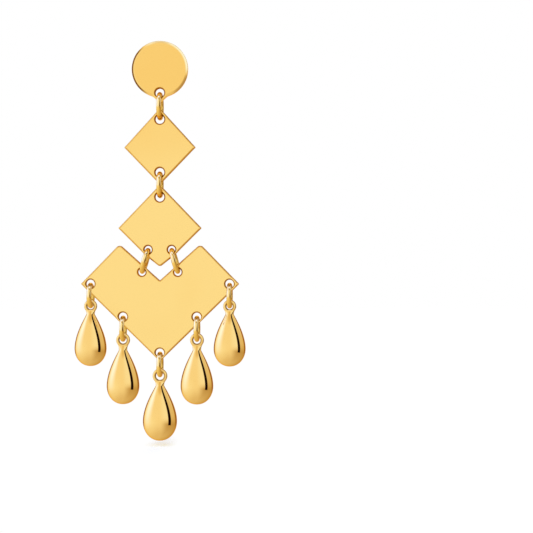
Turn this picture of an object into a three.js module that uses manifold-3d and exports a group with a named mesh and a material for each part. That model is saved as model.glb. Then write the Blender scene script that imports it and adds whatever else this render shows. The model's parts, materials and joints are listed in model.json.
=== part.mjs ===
// Tassel earring: a stud disc, two diamond plates and a heart-shaped chevron plate hung one below
// the other on jump rings, with five cast teardrops along the chevron's lower edge.
//
// Millimetres. +Z is up, the front faces -Y, and +X is to the right for someone looking at the front.
// The origin is on the back face of the disc, in its middle, where the ear post leaves it.

import * as THREE from 'three';
import { mergeVertices } from 'three/addons/utils/BufferGeometryUtils.js';
import Module from 'manifold-3d';

const wasm = await Module();
wasm.setup();

// ---------------------------------------------------------------- driving dimensions

const DISC = { radius: 5.35, thickness: 1.2, edge: 0.3 };
const TAB = { tipZ: -6.45, slope: 43, tipRadius: 0.4, neckFillet: 1.5 }; // slope in degrees from level
const POST = { radius: 0.42, length: 11.0, tip: 0.3, rootRadius: 0.8, rootHeight: 0.35, buried: 0.3 };

const PLATE = { thickness: 1.0, edge: 0.15 };
const HANG_Y = -DISC.thickness / 2; // the plane that every plate and ring hangs in

const WIRE_RADIUS = 0.46; // of every jump ring
const PLAY = 0.12; // left between a ring's wire and the metal that bears on it
const HOLE = { wide: 0.84, middle: 0.8, narrow: 0.7 }; // radii of the punched holes
const HOLE_RIM = 0.18; // chamfer round each hole

const TOP_RING = { z: -7.03, outer: 2.7 };
const MIDDLE_RING = { z: -21.95, outer: 2.55 };
const HANGER_RING = { x: 2.835, z: -36.4, outer: 2.55, splay: 15.5 }; // feet lean outwards, degrees

// Corners of each plate's right half, from its top to its bottom, with the radius of each corner.
const UPPER_DIAMOND = [
  { x: 0, z: -7.42, radius: 0.5 },
  { x: 6.8, z: -14.86, radius: 0.2 },
  { x: 0, z: -21.92, radius: 1.1 },
];
const LOWER_DIAMOND = [
  { x: 0, z: -21.93, radius: 1.1 },
  { x: 7.94, z: -30.19, radius: 0.2 },
  { x: 2.56, z: -35.53, radius: 2.0 },
  { x: 0, z: -37.54, radius: 0.6 },
];
const CHEVRON = [
  { x: 0, z: -40.11, radius: 0.15 },
  { x: 7.71, z: -33.23, radius: 0.8 },
  { x: 15.1, z: -40.78, radius: 0.2 },
  { x: 0, z: -55.49, radius: 0.5 },
];

// One row for each teardrop: its ring on the chevron, then its own sizes below its loop's centre.
const DROPS = [
  { name: 'outer_left', x: -13.27, ringZ: -42.99, ringOuter: 2.45, loop: 1.25, neck: 1.5, widest: 8.05, bottom: 11.42, radius: 3.03 },
  { name: 'middle_left', x: -7.05, ringZ: -49.29, ringOuter: 2.5, loop: 1.33, neck: 1.9, widest: 8.72, bottom: 12.21, radius: 3.1 },
  { name: 'centre', x: 0, ringZ: -56.07, ringOuter: 2.45, loop: 1.41, neck: 1.8, widest: 8.6, bottom: 12.3, radius: 3.24 },
  { name: 'middle_right', x: 7.05, ringZ: -49.29, ringOuter: 2.5, loop: 1.33, neck: 1.9, widest: 8.72, bottom: 12.21, radius: 3.1 },
  { name: 'outer_right', x: 13.27, ringZ: -42.99, ringOuter: 2.45, loop: 1.25, neck: 1.5, widest: 8.05, bottom: 11.42, radius: 3.03 },
];
const DROP_LOOP_WIRE = 0.32; // radius of the loop's wire
const DROP_NECK_RADIUS = 0.78;
// Handles of the teardrop's curves, as shares of its height above and below its widest place, and of
// its radius: they set how full its shoulder and its base are.
const DROP_FORM = { neck: 0.03, shoulder: 0.454, flank: 0.528, base: 0.62 };

const RING_SIDES = 16;
const WIRE_SIDES = 6;
const ROUND_SIDES = 16; // round a teardrop or the post
const HOLE_SIDES = 20;
const ARC_STEP = 15; // degrees between the points of a rounded corner

const radians = THREE.MathUtils.degToRad;

// ---------------------------------------------------------------- solids

// A geometry's closed surface as a solid that can be cut and joined.
function toSolid(geometry) {
  const bare = geometry.clone();
  bare.deleteAttribute('normal');
  bare.deleteAttribute('uv');
  const merged = mergeVertices(bare, 1e-5);
  const corners = merged.index.array;
  const triangles = [];
  for (let i = 0; i < corners.length; i += 3) {
    const [a, b, c] = corners.slice(i, i + 3);
    if (a !== b && b !== c && c !== a) triangles.push(a, b, c); // a lathe leaves empty ones on its axis
  }
  return new wasm.Manifold(
    new wasm.Mesh({
      numProp: 3,
      vertProperties: Float32Array.from(merged.attributes.position.array),
      triVerts: Uint32Array.from(triangles),
    }),
  );
}

function toGeometry(solid) {
  const mesh = solid.getMesh();
  const geometry = new THREE.BufferGeometry();
  geometry.setAttribute('position', new THREE.BufferAttribute(mesh.vertProperties, 3));
  geometry.setIndex(new THREE.BufferAttribute(mesh.triVerts, 1));
  geometry.computeVertexNormals();
  return geometry;
}

// Turns a profile of [radius, height] points, which runs from bottom to top, about the Z axis.
function turned(profile, sides) {
  const points = profile.map(([radius, height]) => new THREE.Vector2(radius, height));
  return new THREE.LatheGeometry(points, sides).rotateX(Math.PI / 2);
}

// ---------------------------------------------------------------- outlines in the plane of a plate

function arcPoints(x, z, radius, from, to, clockwise) {
  const sweep = Math.abs(to - from);
  const steps = Math.max(2, Math.ceil(THREE.MathUtils.radToDeg(sweep) / ARC_STEP));
  return new THREE.EllipseCurve(x, z, radius, radius, from, to, clockwise).getPoints(steps);
}

// Replaces a corner by the arc that touches both of its sides.
function roundedCorner(before, corner, after) {
  const at = new THREE.Vector2(corner.x, corner.z);
  const toBefore = new THREE.Vector2(before.x, before.z).sub(at).normalize();
  const toAfter = new THREE.Vector2(after.x, after.z).sub(at).normalize();
  const half = Math.acos(toBefore.dot(toAfter)) / 2;
  const reach = corner.radius / Math.tan(half);
  const start = at.clone().addScaledVector(toBefore, reach);
  const end = at.clone().addScaledVector(toAfter, reach);
  const middle = toBefore.clone().add(toAfter).normalize();
  const centre = at.clone().addScaledVector(middle, corner.radius / Math.sin(half));
  const from = start.clone().sub(centre).angle();
  let to = end.clone().sub(centre).angle();
  if (to - from > Math.PI) to -= 2 * Math.PI;
  if (from - to > Math.PI) to += 2 * Math.PI;
  return arcPoints(centre.x, centre.y, corner.radius, from, to, to < from);
}

// The whole outline of a plate that is the same on both sides of X = 0, from its right half.
function symmetricOutline(half) {
  const left = half.filter((corner) => corner.x > 0).map((corner) => ({ ...corner, x: -corner.x }));
  const corners = [...half, ...left.reverse()].reverse(); // anticlockwise
  return corners.flatMap((corner, i) =>
    roundedCorner(corners.at(i - 1), corner, corners[(i + 1) % corners.length]),
  );
}

// A disc with a pointed tab below it. The tab's sides run into the disc through concave fillets.
function discOutline() {
  const slope = radians(TAB.slope);
  const apex = new THREE.Vector2(0, TAB.tipZ);
  const along = new THREE.Vector2(Math.cos(slope), Math.sin(slope));
  const outward = new THREE.Vector2(Math.sin(slope), -Math.cos(slope));

  // The fillet's centre is one fillet radius outside both the tab's side and the disc.
  const offset = apex.clone().addScaledVector(outward, TAB.neckFillet);
  const reach = DISC.radius + TAB.neckFillet;
  const lean = offset.dot(along);
  const travel = -lean - Math.sqrt(lean ** 2 - offset.lengthSq() + reach ** 2);
  const fillet = offset.clone().addScaledVector(along, travel);
  const onDisc = fillet.angle() - 2 * Math.PI;
  const towardsSide = radians(90 + TAB.slope);

  const rightFillet = arcPoints(fillet.x, fillet.y, TAB.neckFillet, towardsSide, onDisc + Math.PI, true);
  const leftFillet = rightFillet.map((point) => new THREE.Vector2(-point.x, point.y)).reverse();
  const rim = arcPoints(0, 0, DISC.radius, onDisc, Math.PI - onDisc, false);
  const tipCentre = TAB.tipZ + TAB.tipRadius / Math.cos(slope);
  const tip = arcPoints(0, tipCentre, TAB.tipRadius, -Math.PI / 2 - slope, -Math.PI / 2 + slope, false);
  return [...rim.slice(1, -1), ...leftFillet, ...tip, ...rightFillet];
}

// ---------------------------------------------------------------- pieces

// A sheet-metal plate with softened edges, centred on the plane Y = 0.
function plateSolid(outline, thickness, edge, edgeSteps) {
  const flat = thickness - 2 * edge;
  const geometry = new THREE.ExtrudeGeometry(new THREE.Shape(outline), {
    depth: flat,
    bevelThickness: edge,
    bevelSize: edge,
    bevelOffset: -edge,
    bevelSegments: edgeSteps,
  });
  return toSolid(geometry.translate(0, 0, -flat / 2).rotateX(Math.PI / 2));
}

// What a punch with a chamfered rim on both faces takes out of a plate.
function punch({ x, z, radius }, thickness) {
  const face = thickness / 2;
  const beyond = 0.2;
  const mouth = radius + HOLE_RIM + beyond;
  const profile = [
    [0, -face - beyond],
    [mouth, -face - beyond],
    [radius, -face + HOLE_RIM],
    [radius, face - HOLE_RIM],
    [mouth, face + beyond],
    [0, face + beyond],
  ];
  return toSolid(turned(profile, HOLE_SIDES).rotateX(Math.PI / 2).translate(x, 0, z));
}

function punched(solid, holes, thickness) {
  return holes.reduce((left, hole) => left.subtract(punch(hole, thickness)), solid);
}

// The hole that a ring's wire runs through, at the ring's top (+1) or bottom (-1). The metal
// between the hole and the plate's edge is inside the ring and bears on its wire.
function holeOnRing(ring, end, radius) {
  const centreLine = ring.outer - WIRE_RADIUS;
  const distance = centreLine + radius - WIRE_RADIUS - PLAY;
  const lean = radians(ring.splay ?? 0);
  return {
    x: (ring.x ?? 0) - end * distance * Math.sin(lean),
    z: ring.z + end * distance * Math.cos(lean),
    radius,
  };
}

function mirrored(hole) {
  return { ...hole, x: -hole.x };
}

// A closed ring of round wire, lying in the plane Y = 0. A flat of the wire faces inwards.
function wireRing(outer, wireRadius) {
  const profile = [];
  for (let side = 0; side <= WIRE_SIDES; side += 1) {
    const angle = ((side + 0.5) / WIRE_SIDES) * 2 * Math.PI;
    profile.push([outer - wireRadius + wireRadius * Math.cos(angle), wireRadius * Math.sin(angle)]);
  }
  return turned(profile, RING_SIDES).rotateX(Math.PI / 2);
}

function studSolid() {
  const disc = plateSolid(discOutline(), DISC.thickness, DISC.edge, 3);
  const tabHole = holeOnRing(TOP_RING, 1, HOLE.wide);
  const back = DISC.thickness / 2;
  const post = [
    [0, -POST.buried],
    [POST.rootRadius, -POST.buried],
    [POST.rootRadius, 0],
    [POST.radius, POST.rootHeight],
    [POST.radius, POST.length - POST.tip],
    [POST.radius - POST.tip / 2, POST.length],
    [0, POST.length],
  ];
  const pin = toSolid(turned(post, ROUND_SIDES).rotateX(-Math.PI / 2).translate(0, back, 0));
  return punched(disc, [tabHole], DISC.thickness).add(pin);
}

// The plates' holes follow from the rings that pass through them.
const UPPER_DIAMOND_HOLES = [
  holeOnRing(TOP_RING, -1, HOLE.wide),
  holeOnRing(MIDDLE_RING, 1, HOLE.wide),
];
const LOWER_DIAMOND_HOLES = [
  holeOnRing(MIDDLE_RING, -1, HOLE.wide),
  holeOnRing(HANGER_RING, 1, HOLE.narrow),
  mirrored(holeOnRing(HANGER_RING, 1, HOLE.narrow)),
];
const CHEVRON_HOLES = [
  holeOnRing(HANGER_RING, -1, HOLE.narrow),
  mirrored(holeOnRing(HANGER_RING, -1, HOLE.narrow)),
  ...DROPS.map((drop) => holeOnRing({ x: drop.x, z: drop.ringZ, outer: drop.ringOuter }, 1, HOLE.middle)),
];

function plateWithHoles(half, holes) {
  const blank = plateSolid(symmetricOutline(half), PLATE.thickness, PLATE.edge, 1);
  return punched(blank, holes, PLATE.thickness);
}

// A round teardrop cast in one with its loop, whose centre is the local origin.
function teardropSolid(drop) {
  const rise = drop.widest - drop.neck;
  const fall = drop.bottom - drop.widest;
  const loopFoot = drop.loop - DROP_LOOP_WIRE; // from the loop's centre down to its lowest wire
  const shoulder = new THREE.CubicBezierCurve(
    new THREE.Vector2(drop.radius, -drop.widest),
    new THREE.Vector2(drop.radius, -drop.widest + DROP_FORM.shoulder * rise),
    new THREE.Vector2(DROP_NECK_RADIUS, -drop.neck - DROP_FORM.neck * rise),
    new THREE.Vector2(DROP_NECK_RADIUS, -drop.neck),
  );
  const base = new THREE.CubicBezierCurve(
    new THREE.Vector2(0, -drop.bottom),
    new THREE.Vector2(DROP_FORM.base * drop.radius, -drop.bottom),
    new THREE.Vector2(drop.radius, -drop.widest - DROP_FORM.flank * fall),
    new THREE.Vector2(drop.radius, -drop.widest),
  );
  const profile = [...base.getPoints(6), ...shoulder.getPoints(7).slice(1)].map((p) => [p.x, p.y]);
  profile.push([DROP_LOOP_WIRE, -loopFoot], [0, -loopFoot]);
  const body = toSolid(turned(profile, ROUND_SIDES));
  return body.add(toSolid(wireRing(drop.loop, DROP_LOOP_WIRE)));
}

// ---------------------------------------------------------------- the earring

const polishedGold = new THREE.MeshStandardMaterial({ color: 0xf4c86a, metalness: 1, roughness: 0.12 });
const mirrorGold = new THREE.MeshStandardMaterial({ color: 0xf6cc70, metalness: 1, roughness: 0.05 });

function named(name, geometry, material) {
  const mesh = new THREE.Mesh(geometry, material);
  mesh.name = name;
  return mesh;
}

// A ring hangs across the plates, in the plane of Y and Z, with its feet splayed if it leans.
function hungRing(name, x, z, outer, splay) {
  const holder = new THREE.Group();
  holder.position.set(x, 0, z);
  holder.rotation.y = radians(-splay);
  const ring = named(name, wireRing(outer, WIRE_RADIUS), mirrorGold);
  ring.rotation.z = Math.PI / 2;
  holder.add(ring);
  return holder;
}

const hanging = new THREE.Group();
hanging.position.y = HANG_Y;
hanging.add(
  named('stud_disc', toGeometry(studSolid()), polishedGold),
  hungRing('top_ring', 0, TOP_RING.z, TOP_RING.outer, 0),
  named('upper_diamond', toGeometry(plateWithHoles(UPPER_DIAMOND, UPPER_DIAMOND_HOLES)), polishedGold),
  hungRing('middle_ring', 0, MIDDLE_RING.z, MIDDLE_RING.outer, 0),
  named('lower_diamond', toGeometry(plateWithHoles(LOWER_DIAMOND, LOWER_DIAMOND_HOLES)), polishedGold),
  hungRing('hanger_ring_left', -HANGER_RING.x, HANGER_RING.z, HANGER_RING.outer, -HANGER_RING.splay),
  hungRing('hanger_ring_right', HANGER_RING.x, HANGER_RING.z, HANGER_RING.outer, HANGER_RING.splay),
  named('chevron_plate', toGeometry(plateWithHoles(CHEVRON, CHEVRON_HOLES)), polishedGold),
);

for (const drop of DROPS) {
  hanging.add(hungRing(`drop_ring_${drop.name}`, drop.x, drop.ringZ, drop.ringOuter, 0));
  const teardrop = named(`teardrop_${drop.name}`, toGeometry(teardropSolid(drop)), mirrorGold);
  // The loop hangs on the lowest wire of its ring.
  const ringFoot = drop.ringZ - (drop.ringOuter - WIRE_RADIUS);
  const loopHole = drop.loop - 2 * DROP_LOOP_WIRE;
  teardrop.position.set(drop.x, 0, ringFoot - (loopHole - WIRE_RADIUS - PLAY));
  hanging.add(teardrop);
}

const earring = new THREE.Group();
earring.add(hanging);

export default earring;
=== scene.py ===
"""Looks of a gold-plated tassel earring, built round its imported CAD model.

Lengths in the classes are in millimetres, in the model's own frame: +Z is up, the front faces -Y,
+X is to the right from the front, and the origin is in the middle of the stud disc's back face.
"""

import json
import logging
import math
from dataclasses import dataclass, field, replace
from enum import Enum

import bpy
import numpy as np
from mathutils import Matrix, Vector
from mathutils.geometry import tessellate_polygon

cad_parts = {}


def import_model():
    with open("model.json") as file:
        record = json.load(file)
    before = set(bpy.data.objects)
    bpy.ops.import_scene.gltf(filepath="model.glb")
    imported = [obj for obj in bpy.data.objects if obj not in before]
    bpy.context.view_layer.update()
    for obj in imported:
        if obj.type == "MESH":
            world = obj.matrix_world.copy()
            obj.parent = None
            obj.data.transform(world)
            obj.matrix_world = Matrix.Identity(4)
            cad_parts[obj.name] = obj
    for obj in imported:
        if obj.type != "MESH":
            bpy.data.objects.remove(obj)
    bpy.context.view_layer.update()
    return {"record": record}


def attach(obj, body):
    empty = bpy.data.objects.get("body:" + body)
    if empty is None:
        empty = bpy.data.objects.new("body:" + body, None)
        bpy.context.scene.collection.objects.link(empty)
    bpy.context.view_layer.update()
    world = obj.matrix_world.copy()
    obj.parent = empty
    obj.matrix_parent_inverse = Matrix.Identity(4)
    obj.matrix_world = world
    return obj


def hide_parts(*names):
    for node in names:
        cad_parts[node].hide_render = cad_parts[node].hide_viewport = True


log = logging.getLogger("tassel_earring")

MM = 0.001  # one millimetre in Blender's metres
HANG_Y = -0.6  # the plane that every plate and ring hangs in
TOUCHING = 1e-6  # places that are nearer than this are one


# ---------------------------------------------------------------- colour and node helpers


def linear(hex_colour: str) -> tuple[float, float, float, float]:
    """Turns an sRGB hex colour into the linear colour that shaders use.

    Args:
        hex_colour: six hex digits after a hash, such as "#F0C060".

    Returns:
        Red, green, blue and alpha, each from 0 to 1.
    """
    channels = (int(hex_colour[i : i + 2], 16) / 255 for i in (1, 3, 5))
    red, green, blue = (c / 12.92 if c <= 0.04045 else ((c + 0.055) / 1.055) ** 2.4 for c in channels)
    return red, green, blue, 1.0


def add_node(
    tree: bpy.types.NodeTree, kind: str, links: dict | None = None, **settings: str | bool
) -> bpy.types.Node:
    """Adds one node with its settings, socket values and incoming links.

    Args:
        tree: the node tree that gets the node.
        kind: the node's type, such as "ShaderNodeMath".
        links: socket name or number to either an output socket, which is linked, or a plain value.
        **settings: properties of the node itself, such as operation="ADD".

    Returns:
        The new node.
    """
    node = tree.nodes.new(kind)
    for name, value in settings.items():
        setattr(node, name, value)
    for socket, value in (links or {}).items():
        if isinstance(value, bpy.types.NodeSocket):
            tree.links.new(value, node.inputs[socket])
        else:
            node.inputs[socket].default_value = value
    return node


# ---------------------------------------------------------------- finishes


class GoldTone(Enum):
    """The shades of gold that the plating shows, from a thin pale deposit to a deep one. The edge and hole
    tones are darkened with painted shade, and two tones are a painted shade and a painted highlight.
    """

    PALE = "#FFE28B"
    WARM = "#FCDA84"
    RICH = "#FAD67C"
    DEEP = "#FBD373"
    DRAWN = "#FCD66E"
    DRAWN_DEEP = "#F8CF64"
    # the edge and hole tones below are darkened with painted shade
    SHEARED = "#F0C264"
    SHEARED_DEEP = "#DFAB4A"
    PUNCHED = "#D09A3A"
    PUNCHED_DEEP = "#A87024"
    # painted shade: a brown mixed in where shade falls or something dark is mirrored
    TARNISHED = "#80500E"
    # painted highlight: a pale gold mixed in where highlights are painted
    RUBBED = "#FFF2B8"
    GLANCING = "#F8D29A"
    GLANCING_SHEARED = "#D09A3C"
    GLANCING_PUNCHED = "#D8A848"


@dataclass(frozen=True)
class GoldPlating:
    """Yellow gold electroplated on polished brass, a mirror with a warm tint.

    Plating follows the brass under it. The eye gets clean reflections, a slightly uneven depth of
    gold, and a faint bloom from handling that changes the gloss a little from place to place. Where
    two links bear on each other, and at other places, a browner, rougher gold is painted shade, and
    a thin pale gold is a painted highlight.

    Attributes:
        name: the material's name.
        light: the tone where the deposit is thin.
        deep: the tone where it is thick.
        glancing: what the metal keeps of light that only grazes it, which browns its outlines.
        gloss: roughness of the cleanest metal.
        bloom: how much rougher the handled places are.
        bloom_mm: size of a handled place.
        tone_mm: size of the areas over which the plating's depth changes.
        ripple_mm: spacing of the gentle waves that polishing leaves.
        ripple_height_mm: height of those waves.
        deep_height: height where the tone is deepest, or nothing where it is the same at all heights.
        pale_height: height where it is palest.
        handled: between which values of their noise the handled places fade in.
        dulling: how much rougher full painted shade makes the metal.
    """

    name: str
    light: GoldTone
    deep: GoldTone
    glancing: GoldTone
    gloss: float
    bloom: float
    bloom_mm: float
    tone_mm: float
    ripple_mm: float
    ripple_height_mm: float
    deep_height: float | None = None
    pale_height: float | None = None
    handled: tuple[float, float] = (0.45, 0.75)
    dulling: float = 0.12

    def depth(self, tree: bpy.types.NodeTree, place: bpy.types.NodeSocket) -> bpy.types.NodeSocket:
        """How deep the deposit is.

        It is a noise. Where those two heights are given, the depth follows height between them,
        and the noise only sways it by a quarter each way.

        Args:
            tree: the material's nodes.
            place: the point's Object coordinates.

        Returns:
            The depth, from 0 where it is thin to 1 where it is thick.
        """
        noise = add_node(
            tree, "ShaderNodeTexNoise", {"Vector": place, "Scale": 1 / (self.tone_mm * MM), "Detail": 2.0}
        ).outputs["Fac"]
        if self.deep_height is None or self.pale_height is None:
            return noise
        height = add_node(tree, "ShaderNodeSeparateXYZ", {"Vector": place}).outputs["Z"]
        by_height = add_node(
            tree,
            "ShaderNodeMapRange",
            {"Value": height, "From Min": self.pale_height * MM, "From Max": self.deep_height * MM},
        ).outputs["Result"]
        sway = add_node(
            tree, "ShaderNodeMath", {0: noise, 1: 0.5, 2: -0.25}, operation="MULTIPLY_ADD"
        ).outputs[0]
        return add_node(
            tree, "ShaderNodeMath", {0: by_height, 1: sway}, operation="ADD", use_clamp=True
        ).outputs[0]

    def colour(
        self, tree: bpy.types.NodeTree, depth: bpy.types.NodeSocket, patina: bpy.types.NodeSocket
    ) -> bpy.types.NodeSocket:
        """The gold's colour: its two tones mixed by depth, then the painted highlight, then the painted
        shade.

        Args:
            tree: the material's nodes.
            depth: how deep the deposit is.
            patina: how much painted shade the point gets, up to 1, or how much painted highlight, down to -1.

        Returns:
            The colour.
        """
        painted_highlight_share = add_node(
            tree, "ShaderNodeMath", {0: patina, 1: -1.0}, operation="MULTIPLY", use_clamp=True
        ).outputs[0]
        gold: bpy.types.NodeSocket | tuple = linear(self.light.value)
        # the pale tone is a painted highlight, the brown tone painted shade
        for amount, tone in ((depth, self.deep), (painted_highlight_share, GoldTone.RUBBED), (patina, GoldTone.TARNISHED)):
            gold = add_node(
                tree, "ShaderNodeMix", {0: amount, 6: gold, 7: linear(tone.value)}, data_type="RGBA"
            ).outputs[2]
        return gold

    def roughness(
        self, tree: bpy.types.NodeTree, place: bpy.types.NodeSocket, patina: bpy.types.NodeSocket
    ) -> bpy.types.NodeSocket:
        """How rough the metal is: its gloss, with the handled places, and rougher where shade is painted.

        Args:
            tree: the material's nodes.
            place: the point's Object coordinates.
            patina: how much painted shade or painted highlight the point gets.

        Returns:
            The roughness.
        """
        noise = add_node(
            tree, "ShaderNodeTexNoise", {"Vector": place, "Scale": 1 / (self.bloom_mm * MM), "Detail": 4.0}
        ).outputs["Fac"]
        handled = add_node(
            tree,
            "ShaderNodeMapRange",
            {
                "Value": noise,
                "From Min": self.handled[0],
                "From Max": self.handled[1],
                "To Min": self.gloss,
                "To Max": self.gloss + self.bloom,
            },
            interpolation_type="SMOOTHSTEP",
        ).outputs["Result"]
        return add_node(
            tree,
            "ShaderNodeMath",
            {0: patina, 1: self.dulling, 2: handled},
            operation="MULTIPLY_ADD",
            use_clamp=True,
        ).outputs[0]

    def ripples(self, tree: bpy.types.NodeTree, place: bpy.types.NodeSocket) -> bpy.types.NodeSocket:
        """The gentle waves that polishing leaves: a noise that is the surface's height.

        Args:
            tree: the material's nodes.
            place: the point's Object coordinates.

        Returns:
            The surface's direction with them.
        """
        height = add_node(
            tree, "ShaderNodeTexNoise", {"Vector": place, "Scale": 1 / (self.ripple_mm * MM), "Detail": 1.0}
        ).outputs["Fac"]
        return add_node(
            tree,
            "ShaderNodeBump",
            {"Height": height, "Strength": 1.0, "Distance": self.ripple_height_mm * MM},
        ).outputs["Normal"]

    def build(self) -> bpy.types.Material:
        """Builds the material. The mesh's painted-light attribute says where shade and highlights are
        painted.

        Returns:
            A new material whose patterns follow Object coordinates, in metres.
        """
        material = bpy.data.materials.new(self.name)
        material.use_nodes = True
        tree = material.node_tree
        tree.nodes.clear()
        place = add_node(tree, "ShaderNodeTexCoord").outputs["Object"]
        # how much painted shade, up to 1, or painted highlight, down to -1, the mesh carries at each point
        patina = add_node(tree, "ShaderNodeAttribute", attribute_name="patina").outputs["Fac"]
        shader = add_node(
            tree,
            "ShaderNodeBsdfPrincipled",
            {
                "Base Color": self.colour(tree, self.depth(tree, place), patina),
                "Metallic": 1.0,
                "Specular Tint": linear(self.glancing.value),
                "Roughness": self.roughness(tree, place, patina),
                "Normal": self.ripples(tree, place),
            },
        )
        add_node(tree, "ShaderNodeOutputMaterial", {"Surface": shader.outputs["BSDF"]})
        return material


# Rolled sheet, polished flat before plating: an almost perfect mirror, its gold palest at the
# foot of the earring and deepest near the top.
SHEET_GOLD = GoldPlating(
    name="gold_plated_rolled_brass_sheet",
    light=GoldTone.PALE,
    deep=GoldTone.DEEP,
    glancing=GoldTone.GLANCING,
    gloss=0.08,
    bloom=0.05,
    bloom_mm=3.0,
    tone_mm=9.0,
    ripple_mm=7.0,
    ripple_height_mm=0.002,
    deep_height=-2.0,
    pale_height=-24.0,
)
# The sheared rim of the sheet: a duller gold, as a cut face is coarser than a rolled one, and a
# browner one, painted shade that draws a fine amber line round every plate.
SHEARED_GOLD = GoldPlating(
    name="gold_plated_sheared_brass_edge",
    light=GoldTone.SHEARED,
    deep=GoldTone.SHEARED_DEEP,
    glancing=GoldTone.GLANCING_SHEARED,
    gloss=0.24,
    bloom=0.1,
    bloom_mm=0.6,
    tone_mm=1.5,
    ripple_mm=0.5,
    ripple_height_mm=0.002,
)
# The walls of the punched holes, darkened with painted shade: a darker line round every hole.
PUNCHED_GOLD = GoldPlating(
    name="gold_plated_punched_brass_hole",
    light=GoldTone.PUNCHED,
    deep=GoldTone.PUNCHED_DEEP,
    glancing=GoldTone.GLANCING_PUNCHED,
    gloss=0.26,
    bloom=0.1,
    bloom_mm=0.6,
    tone_mm=0.9,
    ripple_mm=0.5,
    ripple_height_mm=0.002,
)
# Drawn wire, satin from the die, so its lights are soft bright lines that run round each ring. Its
# plating is thicker and so a little richer than the sheet's.
WIRE_GOLD = GoldPlating(
    name="gold_plated_drawn_brass_wire",
    light=GoldTone.DRAWN,
    deep=GoldTone.DRAWN_DEEP,
    glancing=GoldTone.GLANCING,
    gloss=0.18,
    bloom=0.06,
    bloom_mm=0.8,
    tone_mm=2.0,
    ripple_mm=2.5,
    ripple_height_mm=0.001,
)
# Solid casting, tumbled and buffed until no flat is left: the cleanest mirror of all.
CAST_GOLD = GoldPlating(
    name="gold_plated_cast_brass_mirror_polished",
    light=GoldTone.WARM,
    deep=GoldTone.RICH,
    glancing=GoldTone.GLANCING,
    gloss=0.04,
    bloom=0.03,
    bloom_mm=1.5,
    tone_mm=4.0,
    ripple_mm=3.0,
    ripple_height_mm=0.001,
)


# ---------------------------------------------------------------- surfaces


def smooth_step(value: np.ndarray, start: float, end: float) -> np.ndarray:
    """Rises from 0 at start to 1 at end, level at both: three squares less two cubes of the way."""
    t = np.clip((value - start) / (end - start), 0, 1)
    return t * t * (3 - 2 * t)


def between(value: np.ndarray, rise: tuple[float, float], fall: tuple[float, float]) -> np.ndarray:
    """Rises from 0 to 1 over the first pair of values and falls back to 0 over the second."""
    return smooth_step(value, *rise) * (1 - smooth_step(value, *fall))


def full_turn(steps: int) -> np.ndarray:
    """Even angles round a full turn, from 0, in radians."""
    return np.linspace(0, 2 * math.pi, steps, endpoint=False)


def ring_surface(radius: float, metal: float) -> tuple[np.ndarray, np.ndarray, np.ndarray, np.ndarray]:
    """A ring of round metal round the X axis.

    A point is the ring's centre line, a circle in the plane of Y and Z, plus the metal's own circle
    round that line.

    Args:
        radius: the centre line's radius.
        metal: the radius of the metal.

    Returns:
        The angles round the ring, in a column, from +Y towards +Z; the angles round the metal, in a
        row, from the side that faces out towards +X; the places; and the outward directions.
    """
    around, across = full_turn(96)[:, None], full_turn(32)[None]
    zeros, ones = np.zeros_like(around), np.ones_like(around)
    swell = np.cos(across) * ones
    normals = np.stack([np.sin(across) * ones, swell * np.cos(around), swell * np.sin(around)], axis=-1)
    line = radius * np.stack([zeros, np.cos(around), np.sin(around)], axis=-1)
    return around, across, line + metal * normals, normals


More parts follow.
